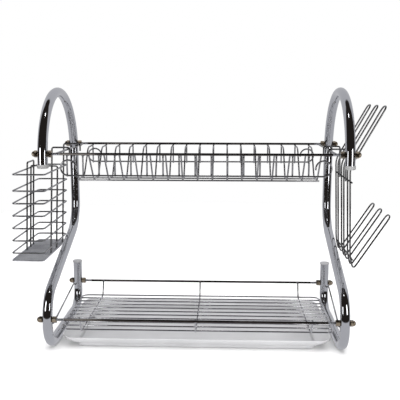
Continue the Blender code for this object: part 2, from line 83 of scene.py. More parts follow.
RODS = ("top_front", "top_rear", "low_front", "low_rear")
ROD_R = 0.0020
ROD_SIDES = 20
ROD_TIP = (0.6, 0.9)        # a cut end's radii, as shares of the rod's
ROD_CHAMFER = 0.0006
ROD_HOLE_R = 0.0027
DRILL_SIDES = 24
DRILL_REACH = 1.5 * TUBE_R
THREAD_PITCH = 0.0007
THREAD_DEPTH = 0.00028
THREAD_LENGTH = 0.0105      # thread that shows inside each inner nut
THREAD_STEPS = 6            # rings in one turn
THREAD_RUNOUT = 0.0003
THREAD_EDGES = (0.9, 0.96)  # radii just before and after a thread, as shares of the rod's

NUT_APOTHEM = 0.0043        # half of the size across flats
NUT_CHAMFER_R = 0.0044
NUT_CHAMFER_SLOPE = math.tan(math.radians(30))
NUT_BORE_R = 0.0023
NUT_LEAD_IN = 0.0004
NUT_STEPS = 48
CAP_NUT_HEX = 0.0040
CAP_NUT_DOME = 0.0040
CAP_NUT_DOME_R = 0.0041
CAP_NUT_NECK = 0.0004       # height of the short cone between the hexagon and the dome
CAP_NUT_NECK_R = CAP_NUT_DOME_R * 0.97
CAP_NUT_DEPTH = 0.5         # the blind bore ends at this share of the dome's height
CAP_NUT_RINGS = 9
PLUG_LIP = 0.0029
PLUG_SKIRT = 0.0026         # the front plugs' lips reach this far over the tube
PLUG_PLAY = 0.0004          # stem clearance inside the pipe
PLUG_STEM_TIP = 0.86        # the stem's chamfered end, as a share of its radius
PLUG_STEM_CHAMFER = 0.0006
PLUG_EDGE = (0.9, 0.97)     # the lip's lower edge: shares of its height and radius
PLUG_ROUND_FROM = 0.35      # the rounding takes this share of the lip's height
PLUG_ROUNDING = 0.0012
PLUG_ROUND_STEPS = 6
PLUG_HOLLOW = (0.0001, 0.45)    # the face's shallow ring: depth, and share of the radius
CAD_PLUG_SIDES = 12         # the CAD lip is a polygon, so its box is narrower than its circle

WIRE_R = 0.00125
THICK_WIRE_R = 0.0015
LEG_WIRE_R = 0.00135
WIRE_SIDES = 14
WIRE_BEND_R = 0.006
WIRE_END = ((0.0, 0.62), (0.10, 0.86), (0.35, 1.0))     # (inset, radius) in wire radii
BEND_STEPS = 7
BEND_REACH = 0.49           # a bend takes no more than this share of a straight
WELD_R = 0.00155
WELD_SIDES = 10
WELD_STEPS = 6
WELD_PER_WIRE = 1.25        # a straight wire's bead, in wire radii

DIVIDERS = 17
DIVIDER_FOOT_Z = 0.2595
HUMP_INNER_Y = 0.064
HUMP_R = 0.020
HUMP_TURN = 50.0
SHOULDER_R = 0.003
TROUGH_BEND_R = 0.004
ROD_WELD_DROP = 0.0022      # the dividers' beads sit this far below the rod's axis
RIM_SCROLL_R = 0.0110
RIM_SCROLL_END = 190        # degrees
RIM_HALF = 0.180
SHELF_HALF_X = 0.2038
SHELF_Y = (-0.0860, 0.0815)     # front and back of the shelf's frame
SHELF_CORNER_R = 0.012
SHELF_CROSS_X = (-0.170, 0.0, 0.170)
SHELF_TURN = 0.0035         # cross wires turn up this far outside the frame
SHELF_WIRES = 11
SHELF_LAP = 1.5 * WIRE_R
SHELF_ROD_WELD_R = WELD_R * 1.1
SHELF_END_WELD_R = WIRE_R * 1.15
TRAY_THICKNESS = 0.0018
TRAY_CURVE = (0.3, 4)       # reach and steps of the curve at each row of the tray

BASKET_RING_Z = (0.1410, 0.1597, 0.1784, 0.1972, 0.2159, 0.2346, 0.2590)
BASKET_X = (-0.2695, -0.2215)           # faces of the basket at its top ring
BASKET_LEAN = 0.006                     # the floor hangs this far outside the top ring
BASKET_Y = (-0.072, 0.069)
BASKET_FLOOR_Z = 0.1285
BASKET_LAP = 1.3 * WIRE_R
BASKET_BEND_R = 0.0034
BASKET_HANDLE_Z = 0.2695
BASKET_HOOK_Y = (-0.024, 0.050)
BASKET_HANDLE_Y = (-0.002, 0.033)
BASKET_DIVIDER_Y = (0.018, 0.010)
BASKET_DIVIDER_Z = 0.2625
MESH_WIRE_R = 0.00032
MESH_PITCH_X = 0.0021
MESH_PITCH_Y = 0.0033
MESH_RIM_R = 0.0012
MESH_SIDES = 6

CUP_X = 0.2250              # upright legs at their lower bend
CUP_TOP_X = 0.2205          # and at their upper bend
CUP_UNIT_Y = (-0.066, -0.0155, 0.035)
CUP_HALF_WIDTH = 0.0100
CUP_BEND_Z = 0.2717
CUP_TIP = (0.2684, 0.3584)
CUP_ROOT = (0.2298, 0.1220)
CUP_ROOT_RISE = 0.020
CUP_LOW_TIP = (0.2810, 0.2012)
CUP_BEND_R = 0.0085
CUP_HOOK_BEND_R = 0.0026
CUP_CROSS_WIRES = ((0.1375, 0.0028), (0.2505, 0.0019))
CUP_OVERRUN = 0.004
CUP_HOOK_Y = (-0.041, 0.0098)
CUP_HOOK_FOOT_Z = 0.2475
HOOK_END_Z = 0.2830
HOOK_GAP = 0.0003

CAMERA_PLACE = (0.0411, -1.0113, 0.3789)
CAMERA_YAW = 0.0374         # turned left from +Y
CAMERA_PITCH = 0.1642       # turned down
CAMERA_LENS = 58.87

FLOOR_RINGS = (0.3, 0.6, 1.2)
FLOOR_SIDES = 64
WHITE = (1.0, 1.0, 1.0)                 # what the camera sees behind the rack
PALE = (0.56, 0.56, 0.58)               # what chrome mirrors beside, behind and below
DARK = (0.022, 0.018, 0.016)            # what it mirrors in front and overhead
# Directions in the world, as parts of a unit vector:
DARK_Y = (0.10, 0.30)                   # the dark room fades out towards the back
DARK_Z = (-0.24, 0.94)                  # and lies between these heights
DARK_SOFT = 0.02
OVERHEAD_X = (0.60, 0.75)               # fading edges of the dark strip overhead
OVERHEAD_Y = (0.30, 0.40)
OVERHEAD_Z = (0.80, 0.88)

# name, place, target, (width, height), watts, and whether chrome shows it
LIGHTS = (
    ("overhead_softbox", (0.0, -0.2, 2.2), (0.0, 0.0, 0.0), (3.6, 3.6), 120.0, False),
    ("front_fill", (0.0, -2.4, 0.7), (0.0, 0.0, 0.10), (2.4, 1.2), 60.0, False),
    ("strip_light_left", (-0.50, -0.46, 0.28), (-0.2, -0.1, 0.18), (0.14, 0.28), 0.5, True),
    ("strip_light_right", (0.50, -0.46, 0.28), (0.2, -0.1, 0.18), (0.14, 0.28), 0.5, True),
    ("catch_light", (0.0, -0.44, 1.75), (0.0, 0.0, 0.3), (0.14, 0.16), 0.5, True))

# Noise in the materials: levels between which a value changes, and octaves
COLOUR_LEVELS = (0.35, 0.65)
COLOUR_DETAIL = 3.0
GLOSS_LEVELS = (0.3, 0.7)
GLOSS_DETAIL = 4.0
GLOSS_FINER = 2.7           # the gloss varies this much finer than the colour
RELIEF_DETAIL = 2.0
RELIEF_STRENGTH = 0.5


# ---- node materials ----------------------------------------------------------------------
def set_range(node, source, target):
    """Make a map range node turn the source pair into the target pair."""
    for label, value in zip(("From Min", "From Max", "To Min", "To Max"), (*source, *target)):
        node.inputs[label].default_value = value


def node_material(name, dark, light, metallic, roughness, patch, grain, bump):
    """A material whose colour, gloss and fine relief vary over the surface.

    dark and light are the colour's two ends, roughness is a (low, high) pair, patch is the
    scale of the slow variation, and grain and bump are the scale and depth of the relief.
    """
    material = bpy.data.materials.new(name)
    material.use_nodes = True
    tree = material.node_tree
    shader = tree.nodes["Principled BSDF"]
    shader.inputs["Metallic"].default_value = metallic
    coordinates = tree.nodes.new("ShaderNodeTexCoord")

    def noise(scale, detail):
        node = tree.nodes.new("ShaderNodeTexNoise")
        node.inputs["Scale"].default_value = scale
        node.inputs["Detail"].default_value = detail
        tree.links.new(coordinates.outputs["Object"], node.inputs["Vector"])
        return node.outputs["Fac"]

    ramp = tree.nodes.new("ShaderNodeValToRGB")
    for k, colour in enumerate((dark, light)):
        ramp.color_ramp.elements[k].position = COLOUR_LEVELS[k]
        ramp.color_ramp.elements[k].color = (*colour, 1.0)
    tree.links.new(noise(patch, COLOUR_DETAIL), ramp.inputs["Fac"])
    tree.links.new(ramp.outputs["Color"], shader.inputs["Base Color"])
    gloss = tree.nodes.new("ShaderNodeMapRange")
    set_range(gloss, GLOSS_LEVELS, roughness)
    tree.links.new(noise(patch * GLOSS_FINER, GLOSS_DETAIL), gloss.inputs["Value"])
    tree.links.new(gloss.outputs["Result"], shader.inputs["Roughness"])
    relief = tree.nodes.new("ShaderNodeBump")
    relief.inputs["Strength"].default_value = RELIEF_STRENGTH
    relief.inputs["Distance"].default_value = bump
    tree.links.new(noise(grain, RELIEF_DETAIL), relief.inputs["Height"])
    tree.links.new(relief.outputs["Normal"], shader.inputs["Normal"])
    return material


CHROME = node_material("tube_chrome", (0.60, 0.61, 0.64), (0.66, 0.67, 0.70), 1.0,
                       (0.04, 0.09), 9.0, 420.0, 0.000012)
# Painted shade: the tie rods' chrome is darkened almost to black, standing in for the dark
# surroundings it mirrors.
ROD_CHROME_PAINTED_SHADE = node_material("rod_chrome_painted_shade", (0.08, 0.07, 0.07), (0.14, 0.13, 0.12), 1.0,
                           (0.06, 0.14), 30.0, 500.0, 0.00001)
WIRE_CHROME = node_material("wire_chrome", (0.60, 0.60, 0.62), (0.70, 0.70, 0.72), 1.0,
                            (0.08, 0.18), 40.0, 900.0, 0.00002)
# Painted shade: the rack's wires are the same chrome, darkened to stand in for the dark
# surroundings they mirror.
RACK_CHROME_PAINTED_SHADE = node_material("rack_wire_chrome_painted_shade", (0.34, 0.34, 0.35), (0.44, 0.44, 0.45), 1.0,
                            (0.08, 0.18), 40.0, 900.0, 0.00002)
# Painted shade: the cup holder's and basket legs' chrome is darkened nearly to black, standing in
# for the dark surroundings it mirrors.
LEG_CHROME_PAINTED_SHADE = node_material("leg_wire_chrome_painted_shade", (0.18, 0.18, 0.18), (0.26, 0.26, 0.26), 1.0,
                           (0.08, 0.18), 40.0, 900.0, 0.00002)
THREAD_ZINC = node_material("thread_zinc", (0.42, 0.43, 0.46), (0.56, 0.57, 0.60), 1.0,
                            (0.22, 0.36), 300.0, 2500.0, 0.00003)
NUT_STEEL = node_material("nut_plating", (0.33, 0.26, 0.18), (0.54, 0.47, 0.37), 1.0,
                          (0.10, 0.22), 160.0, 1500.0, 0.00002)
MESH_STEEL = node_material("mesh_steel", (0.60, 0.61, 0.65), (0.76, 0.77, 0.80), 1.0,
                           (0.28, 0.44), 90.0, 2600.0, 0.00003)
PLUG_PLASTIC = node_material("plug_plastic", (0.21, 0.21, 0.21), (0.26, 0.26, 0.26), 0.0,
                             (0.38, 0.52), 60.0, 1800.0, 0.00003)
CAP_PLASTIC = node_material("cap_plastic", (0.26, 0.26, 0.27), (0.32, 0.32, 0.33), 0.0,
                            (0.38, 0.52), 60.0, 1800.0, 0.00003)
TRAY_PLASTIC = node_material("tray_plastic", (0.41, 0.41, 0.42), (0.46, 0.46, 0.47), 0.0,
                             (0.28, 0.42), 12.0, 900.0, 0.00003)


# ---- outlines ----------------------------------------------------------------------------
def arc(center, radius, start, end):
    """Points of a plane arc, angles in degrees, both ends included."""
    steps = max(2, round(abs(end - start) / DEGREES_PER_RING))
    points = []
    for i in range(steps + 1):
        angle = math.radians(start + (end - start) * i / steps)
        points.append((center[0] + radius * math.cos(angle),
                       center[1] + radius * math.sin(angle)))
    return points


def rounded(points, radius, closed=False):
    """A 3-D polyline with its corners turned into curves."""
    count = len(points)
    result = []
    for i, point in enumerate(points):
        corner = Vector(point)
        if not closed and i in (0, count - 1):
            result.append(corner)
            continue
        before = Vector(points[i - 1]) - corner
        after = Vector(points[(i + 1) % count]) - corner
        reach = min(radius, before.length * BEND_REACH, after.length * BEND_REACH)
        first = corner + before.normalized() * reach
        last = corner + after.normalized() * reach
        for k in range(BEND_STEPS + 1):
            t = k / BEND_STEPS
            result.append(first * (1 - t) ** 2 + corner * 2 * t * (1 - t) + last * t ** 2)
    return result


# ---- mesh making -------------------------------------------------------------------------
class Shape:
    """The points and faces of one piece while it is being made."""

    def __init__(self):
        self.points = []
        self.faces = []

    def ring(self, points):
        """Add a ring of points and return their numbers."""
        start = len(self.points)
        self.points.extend(points)
        return list(range(start, len(self.points)))

    def bridge(self, low, high):
        """Join two rings of equal length, or a ring and a single point."""
        count = max(len(low), len(high))
        for k in range(count):
            n = (k + 1) % count
            corners = [low[k % len(low)], low[n % len(low)],
                       high[n % len(high)], high[k % len(high)]]
            self.faces.append(list(dict.fromkeys(corners)))

    def loft(self, rings, loop=False, caps=True):
        """Join rings of points one after another; caps close an open loft's two ends."""
        numbers = [self.ring(points) for points in rings]
        for low, high in zip(numbers, numbers[1:]):
            self.bridge(low, high)
        if loop:
            self.bridge(numbers[-1], numbers[0])
        elif caps:
            for ends in (numbers[0][::-1], numbers[-1]):
                if len(ends) > 2:
                    self.faces.append(ends)

    def mesh(self, name):
        """The shape as a new mesh."""
        mesh = bpy.data.meshes.new(name)
        mesh.from_pydata([tuple(p) for p in self.points], [], self.faces)
        return mesh

    def piece(self, name, materials, body, replaced=()):
        """Turn the shape into an object that rides on a CAD body."""
        mesh = self.mesh(name)
        mesh.validate()
        return place(name, mesh, materials, body, replaced)


def add_object(name, data):
    """A new object in the scene."""
    obj = bpy.data.objects.new(name, data)
    bpy.context.scene.collection.objects.link(obj)
    return obj


def place(name, mesh, materials, body, replaced=()):
    """Put a finished mesh in the scene, smooth, on its CAD body."""
    mesh.shade_smooth()
    mesh.set_sharp_from_angle(angle=SMOOTH_ANGLE)
    obj = add_object(name, mesh)
    obj.data.materials.clear()
    for material in materials:
        obj.data.materials.append(material)
    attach(obj, body)
    if replaced:
        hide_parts(*replaced)
    return obj


def ring_frames(path, side=None):
    """A point, side vector and up vector at each path point, without twist."""
    path = [Vector(p) for p in path]
    tangents = []
    for i in range(len(path)):
        ahead, behind = path[min(i + 1, len(path) - 1)], path[max(i - 1, 0)]
        tangents.append((ahead - behind).normalized())
    if side is None:
        side = tangents[0].cross(SKEW).normalized()
    frames = []
    for point, tangent in zip(path, tangents):
        side = (side - tangent * side.dot(tangent)).normalized()
        frames.append((point, side, tangent.cross(side)))
    return frames


def circle(point, side, up, radius, sides, start=0.0):
    """A ring of points around a path point."""
    result = []
    for k in range(sides):
        angle = start + 2 * math.pi * k / sides
        result.append(point + (side * math.cos(angle) + up * math.sin(angle)) * radius)
    return result


def add_wire(shape, path, radius, sides=WIRE_SIDES):
    """A round wire along an open path, its cut ends lightly rounded."""
    frames = ring_frames(path)
    rings = [circle(*f, radius, sides) for f in frames]
    ends = []
    for index, sign in ((0, 1.0), (-1, -1.0)):
        point, side, up = frames[index]
        along = side.cross(up) * sign * radius
        ends.append([circle(point + along * inset, side, up, radius * share, sides)
                     for inset, share in WIRE_END])
    shape.loft(ends[0] + rings[1:-1] + ends[1][::-1])


def add_loop(shape, path, radius, sides=WIRE_SIDES):
    """A round wire along a closed path."""
    frames = ring_frames(list(path) + [path[0]])
    start, end = frames[0], frames[-1]
    tangent = start[1].cross(start[2])
    twist = math.atan2(tangent.dot(end[1].cross(start[1])), end[1].dot(start[1]))
    count = len(path)
    shape.loft([circle(*frames[i], radius, sides, twist * i / count) for i in range(count)],
               loop=True)


def add_weld(shape, point, radius=WELD_R):
    """A small round spot-weld bead."""
    center = Vector(point)
    rings = [[center + Vector((0.0, 0.0, -radius))]]
    for step in range(1, WELD_STEPS):
        angle = math.pi * step / WELD_STEPS
        ring = []
        for k in range(WELD_SIDES):
            turn = 2 * math.pi * k / WELD_SIDES
            ring.append(center + Vector((math.cos(turn) * math.sin(angle),
                                         math.sin(turn) * math.sin(angle),
                                         -math.cos(angle))) * radius)
        rings.append(ring)
    rings.append([center + Vector((0.0, 0.0, radius))])
    shape.loft(rings, caps=False)


def add_turned(shape, rows, origin, axis, sides):
    """A solid of revolution from (distance along axis, radius) rows; radius 0 is a point."""
    axis = Vector(axis)
    side = axis.orthogonal().normalized()
    up = axis.cross(side)
    rings = []
    for along, radius in rows:
        center = Vector(origin) + axis * along
        rings.append([center] if radius == 0.0 else circle(center, side, up, radius, sides))
    shape.loft(rings, caps=False)


# ---- side tubes, plugs, rods and nuts ----------------------------------------------------
def side_profile():
    """The bent tube's centre line as (y, z), from the front end to the post top."""
    points = [(-ARCH_R, FRONT_END_Z)]
    points += arc((0.0, ARCH_Z), ARCH_R, 180, 0)
    turn = 90 - math.degrees(SWEEP_ANGLE)
    rear = arc((ARCH_R - REAR_BEND_R, REAR_BEND_Z), REAR_BEND_R, 0, -turn)
    points += rear
    start_z = FRONT_BEND_Z + FRONT_BEND_R * math.cos(SWEEP_ANGLE)
    run = (rear[-1][1] - start_z) / math.sin(SWEEP_ANGLE)
    start_y = rear[-1][0] - run * math.cos(SWEEP_ANGLE)
    center_y = start_y + FRONT_BEND_R * math.sin(SWEEP_ANGLE)
    points += arc((center_y, FRONT_BEND_Z), FRONT_BEND_R, 180 - turn, 180)
    front_y = center_y - FRONT_BEND_R
    points += arc((front_y + FOOT_R, FOOT_Z + FOOT_R), FOOT_R, 180, 270)
    points += arc((POST_Y - POST_BEND_R, FOOT_Z + POST_BEND_R), POST_BEND_R, 270, 360)
    points.append((POST_Y, POST_TOP_Z))
    return points


def drilled(name, pipe, drills):
    """The pipe's mesh with the drills' holes cut out of it."""
    solid = add_object(name, pipe.mesh(name))
    cutter = add_object("drill", drills.mesh("drill"))
    modifier = solid.modifiers.new("holes", "BOOLEAN")
    modifier.operation = "DIFFERENCE"
    modifier.solver = "EXACT"
    modifier.object = cutter
    graph = bpy.context.evaluated_depsgraph_get()
    mesh = bpy.data.meshes.new_from_object(solid.evaluated_get(graph))
    bpy.data.objects.remove(solid)
    bpy.data.objects.remove(cutter)
    return mesh


def make_side_tube(side, x):
    """An open pipe with a cross hole for each tie rod."""
    pipe, drills = Shape(), Shape()
    frames = ring_frames([(x, y, z) for y, z in side_profile()], side=ALONG)
    outer = [pipe.ring(circle(*f, TUBE_R, TUBE_SIDES)) for f in frames]
    inner = [pipe.ring(circle(*f, TUBE_R - TUBE_WALL, TUBE_SIDES)) for f in frames]
    walls = outer + inner[::-1] + outer[:1]
    for low, high in zip(walls, walls[1:]):
        pipe.bridge(low, high)
    reach = Vector((DRILL_REACH, 0.0, 0.0))
    for rod in RODS:
        center = middle("tie_rod_" + rod)
        center.x = x
        add_wire(drills, [center - reach, center, center + reach], ROD_HOLE_R, DRILL_SIDES)
    mesh = drilled("side_tube_mesh", pipe, drills)
    place("fine_side_tube_" + side, mesh, [CHROME], "frame", ["side_tube_" + side])


def make_plug(node, direction, plastic, skirt=0.0):
    """A push-in end plug: a rounded lip, a stem in the pipe and perhaps a skirt over it."""
    low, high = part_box(node)
    lip_r = (high.x - low.x) / 2 / math.cos(math.pi / CAD_PLUG_SIDES)
    center = middle(node)
    reach = high.z - low.z
    end_z = low.z if direction < 0 else high.z
    lip = PLUG_LIP
    stem_r = TUBE_R - TUBE_WALL - PLUG_PLAY
    rows = [(-reach, 0.0), (-reach, stem_r * PLUG_STEM_TIP),
            (-reach + PLUG_STEM_CHAMFER, stem_r), (-lip, stem_r)]
    if skirt:
        rows += [(-lip, TUBE_R), (-lip - skirt, TUBE_R)]
    edge_height, edge_radius = PLUG_EDGE
    rows += [(-lip - skirt, lip_r * edge_radius), (-lip * edge_height - skirt, lip_r),
             (-lip * PLUG_ROUND_FROM, lip_r)]
    for step in range(1, PLUG_ROUND_STEPS + 1):
        angle = math.pi / 2 * step / PLUG_ROUND_STEPS
        rows.append((-lip * PLUG_ROUND_FROM * (1 - math.sin(angle)),
                     lip_r - PLUG_ROUNDING * (1 - math.cos(angle))))
    hollow_depth, hollow_radius = PLUG_HOLLOW
    rows += [(-hollow_depth, lip_r * hollow_radius), (0.0, 0.0)]
    shape = Shape()
    add_turned(shape, rows, (center.x, center.y, end_z), (0.0, 0.0, direction), TUBE_SIDES)
    shape.piece("fine_" + node, [plastic], "frame", [node])


def hex_radius(angle, limit):
    """The distance from a nut's axis to its side at an angle, no more than a limit."""
    turn = (angle + math.pi / 6) % (math.pi / 3) - math.pi / 6
    return min(NUT_APOTHEM / math.cos(turn), limit)


def hex_ring(center, axis, height, limit, flank):
    """A ring on a nut's chamfered hexagon; flank is -1 or +1 for the low or high chamfer."""
    points = []
    for k in range(NUT_STEPS):
        angle = 2 * math.pi * k / NUT_STEPS
        radius = hex_radius(angle, limit)
        drop = max(0.0, radius - NUT_CHAMFER_R) * NUT_CHAMFER_SLOPE * -flank
        points.append(center + axis * (height + drop)
                      + (BACK * math.cos(angle) + UP * math.sin(angle)) * radius)
    return points


def make_nut(node, sign, domed):
    """A chamfered hexagon nut on a rod; a domed one is closed over the rod's end."""
    low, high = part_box(node)
    axis = Vector((sign, 0.0, 0.0))
    start = middle(node)
    start.x = low.x if sign > 0 else high.x
    length = CAP_NUT_HEX if domed else high.x - low.x

    def turned(height, radius):
        return circle(start + axis * height, BACK, UP, radius, NUT_STEPS)

    def hexagon(height, limit, flank):
        return hex_ring(start, axis, height, limit, flank)

    rings = [turned(0.0, NUT_BORE_R), hexagon(0.0, NUT_CHAMFER_R, -1),
             hexagon(0.0, math.inf, -1), hexagon(length, math.inf, 1),
             hexagon(length, NUT_CHAMFER_R, 1)]
    shape = Shape()
    if domed:
        neck = length + CAP_NUT_NECK
        rings += [turned(length, CAP_NUT_NECK_R), turned(neck, CAP_NUT_DOME_R)]
        for step in range(1, CAP_NUT_RINGS):
            angle = math.pi / 2 * step / CAP_NUT_RINGS
            rings.append(turned(neck + (CAP_NUT_DOME - CAP_NUT_NECK) * math.sin(angle),
                                CAP_NUT_DOME_R * math.cos(angle)))
        rings.append([start + axis * (length + CAP_NUT_DOME)])
        depth = length + CAP_NUT_DOME * CAP_NUT_DEPTH
        rings = [[start + axis * depth], turned(depth, NUT_BORE_R)] + rings
        shape.loft(rings, caps=False)
    else:
        rings += [turned(length, NUT_BORE_R + NUT_LEAD_IN),
                  turned(length - NUT_LEAD_IN, NUT_BORE_R)]
        shape.loft(rings, loop=True)
    shape.piece("fine_" + node, [NUT_STEEL], "frame", [node])


def make_rod(node, nuts):
    """A tie rod with a real thread next to each inner nut."""
    low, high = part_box(node)
    y, z = middle(node).y, middle(node).z
    threads = []
    for nut in nuts:
        nut_low, nut_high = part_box(nut)
        threads.append((nut_high.x, nut_high.x + THREAD_LENGTH) if nut_low.x < 0
                       else (nut_low.x - THREAD_LENGTH, nut_low.x))

    def plain_ring(x, share):
        return circle(Vector((x, y, z)), BACK, UP, ROD_R * share, ROD_SIDES)

    def thread_ring(x):
        points = []
        for k in range(ROD_SIDES):
            angle = 2 * math.pi * k / ROD_SIDES
            phase = (x / THREAD_PITCH - k / ROD_SIDES) % 1.0
            radius = ROD_R - THREAD_DEPTH * abs(2 * phase - 1)
            points.append(Vector((x, y, z))
                          + (BACK * math.cos(angle) + UP * math.sin(angle)) * radius)
        return points

    tip, neck = ROD_TIP
    before, after = THREAD_EDGES
    rings = [plain_ring(low.x, tip), plain_ring(low.x + ROD_CHAMFER, neck)]
    spans = []
    for start, end in threads:
        steps = round((end - start) / THREAD_PITCH * THREAD_STEPS)
        rings.append(plain_ring(start - THREAD_RUNOUT, before))
        first = len(rings)
        rings += [thread_ring(start + (end - start) * i / steps) for i in range(steps + 1)]
        spans.append((first, len(rings)))
        rings.append(plain_ring(end + THREAD_RUNOUT, after))
    rings += [plain_ring(high.x - ROD_CHAMFER, neck), plain_ring(high.x, tip)]
    shape = Shape()
    shape.loft(rings)
    rod = shape.piece("fine_" + node, [ROD_CHROME_PAINTED_SHADE, THREAD_ZINC], "frame", [node])
    for face in rod.data.polygons:
        row = face.vertices[0] // ROD_SIDES
        face.material_index = int(any(first <= row < last for first, last in spans))


def make_frame():
    """Both side tubes with their plugs, tie rods and nuts."""
    for side, sign in SIDES:
        make_side_tube(side, sign * SIDE_X)
        make_plug("front_plug_" + side, -1.0, PLUG_PLASTIC, PLUG_SKIRT)
        make_plug("post_plug_" + side, 1.0, CAP_PLASTIC)
        for rod in RODS:
            make_nut("cap_nut_%s_%s" % (rod, side), sign, True)
            make_nut("inner_nut_%s_%s" % (rod, side), -sign, False)
    for rod in RODS:
        make_rod("tie_rod_" + rod, ["inner_nut_%s_left" % rod, "inner_nut_%s_right" % rod])


# ---- plate rack --------------------------------------------------------------------------
def divider_outline(low, high):
    """A divider's centre line as (y, z), from the front foot to the rear foot."""
    outer_y = high.y - WIRE_R
    top, trough, foot = high.z - WIRE_R, low.z + WIRE_R, DIVIDER_FOOT_Z
    shoulder = arc((outer_y - SHOULDER_R, top - SHOULDER_R), SHOULDER_R, 0, 90)
    hump = arc((HUMP_INNER_Y, top - HUMP_R), HUMP_R, 90, 90 + HUMP_TURN)
    end_y, end_z = hump[-1]
    slope = math.radians(HUMP_TURN)
    trough_y = end_y - (end_z - trough) / math.tan(slope)
    bend = rounded([(0, *hump[-1]), (0, trough_y, trough), (0, 0, trough)], TROUGH_BEND_R)
    half = [(outer_y, foot)] + shoulder + hump + [(p.y, p.z) for p in bend[1:-1]]
    return half + [(-y, z) for y, z in reversed(half)]


def make_plate_rack():
    """Dividers, rim wires with scrolled ends, trough wires and side wires, with their welds."""
    rims = [middle("rack_rim_wire_front"), middle("rack_rim_wire_rear")]
    rim_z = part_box("rack_rim_wire_front")[0].z + WIRE_R
    rod_z = middle("tie_rod_top_front").z
    troughs = [middle("trough_wire_front"), middle("trough_wire_rear")]
    for i in range(1, DIVIDERS + 1):
        node = "plate_divider_%02d" % i
        low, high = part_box(node)
        x = middle(node).x
        outline = divider_outline(low, high)
        shape = Shape()
        add_wire(shape, [(x, y, z) for y, z in outline], WIRE_R)
        for sign, rim, trough in zip((-1.0, 1.0), rims, troughs):
            edge = sign * (high.y - WIRE_R)
            add_weld(shape, (x, (edge + rim.y) / 2, rim_z))
            add_weld(shape, (x, edge + sign * WIRE_R, rod_z - ROD_WELD_DROP))
            add_weld(shape, (x, trough.y, (trough.z + low.z + WIRE_R) / 2))
        shape.piece("fine_" + node, [RACK_CHROME_PAINTED_SHADE], "frame", [node])
    scroll = arc((RIM_HALF, rim_z + RIM_SCROLL_R), RIM_SCROLL_R, -90, RIM_SCROLL_END)
    rim = [(-x, z) for x, z in reversed(scroll)] + scroll
    for label, center, trough in zip(("front", "rear"), rims, troughs):
        shape = Shape()
        add_wire(shape, [(x, center.y, z) for x, z in rim], WIRE_R)
        shape.piece("fine_rack_rim_wire_" + label, [RACK_CHROME_PAINTED_SHADE], "frame",
                    ["rack_rim_wire_" + label])
        low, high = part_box("trough_wire_" + label)
        straight_wire("trough_wire_" + label, (low.x, trough.y, trough.z),
                      (high.x, trough.y, trough.z), WIRE_R, ())
    for label, _ in SIDES:
        node = "rack_side_wire_" + label
        low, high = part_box(node)
        x = middle(node).x
        ends = [(x, low.y, rod_z), (x, high.y, rod_z)]
        straight_wire(node, *ends, THICK_WIRE_R, ends)


def straight_wire(node, start, end, radius, welds):
    """One straight wire with a weld bead at each listed point."""
    shape = Shape()
    add_wire(shape, [start, Vector(start).lerp(Vector(end), 0.5), end], radius)
    for point in welds:
        add_weld(shape, point, radius * WELD_PER_WIRE)
    shape.piece("fine_" + node, [RACK_CHROME_PAINTED_SHADE], "frame", [node])


# ---- lower shelf and tray ----------------------------------------------------------------
def make_shelf():
    """A frame with long wires, welded on cross wires that rise to both low rods."""
    low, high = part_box("shelf_grille")
    top_z = low.z + SHELF_LAP + WIRE_R
    cross_z = top_z - SHELF_LAP
    front, rear = low.y + WIRE_R, high.y - WIRE_R
    shape = Shape()
    start_y, end_y = SHELF_Y
    frame_corners = [(sx * SHELF_HALF_X, y, top_z)
                     for sx, y in ((-1, start_y), (1, start_y), (1, end_y), (-1, end_y))]
    add_loop(shape, rounded(frame_corners, SHELF_CORNER_R, closed=True), WIRE_R)
    for x in SHELF_CROSS_X:
        corners = [(x, front, high.z), (x, start_y - SHELF_TURN, cross_z),
                   (x, end_y + SHELF_TURN, cross_z), (x, rear, high.z)]
        add_wire(shape, rounded(corners, WIRE_BEND_R), WIRE_R)
        for y, rod in ((front, "tie_rod_low_front"), (rear, "tie_rod_low_rear")):
            center = middle(rod)
            add_weld(shape, (x, (y + center.y) / 2, center.z), SHELF_ROD_WELD_R)
    for i in range(SHELF_WIRES):
        y = start_y + (end_y - start_y) * i / (SHELF_WIRES - 1)
        for x in SHELF_CROSS_X:
            add_weld(shape, (x, y, top_z - SHELF_LAP / 2))
        if 0 < i < SHELF_WIRES - 1:
            add_wire(shape, [(x, y, top_z) for x in (-SHELF_HALF_X, 0.0, SHELF_HALF_X)], WIRE_R)
            for x in (-SHELF_HALF_X, SHELF_HALF_X):
                add_weld(shape, (x, y, top_z), SHELF_END_WELD_R)
    shape.piece("fine_shelf_grille", [WIRE_CHROME], "frame", ["shelf_grille"])


def make_side_guards():
    """A straight wire at each end of the shelf, welded to the front tube and the rear post."""
    for label, sign in SIDES:
        node = "shelf_side_wire_" + label
        low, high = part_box(node)
        z = middle(node).z
        near, far = sorted((low.x, high.x), key=abs)
        start = Vector((near + sign * WIRE_R, low.y, z))
        end = Vector((far - sign * WIRE_R, high.y, z))
        welds = []
        for point, axis_y in ((start, middle("tie_rod_low_front").y), (end, POST_Y)):
            axis = Vector((sign * SIDE_X, axis_y, z))
            welds.append(axis + (point - axis).normalized() * TUBE_R)
        straight_wire(node, start, end, WIRE_R, welds)


def softened(rows, reach, steps):
    """Profile rows with each inner row turned into a short curve between its neighbours."""
    result = [rows[0]]
    for before, row, after in zip(rows, rows[1:], rows[2:]):
        first = [r + (b - r) * reach for b, r in zip(before, row)]
        last = [r + (a - r) * reach for a, r in zip(after, row)]
        for k in range(steps + 1):
            t = k / steps
            result.append([f * (1 - t) ** 2 + r * 2 * t * (1 - t) + e * t ** 2
                           for f, r, e in zip(first, row, last)])
    return result + [rows[-1]]


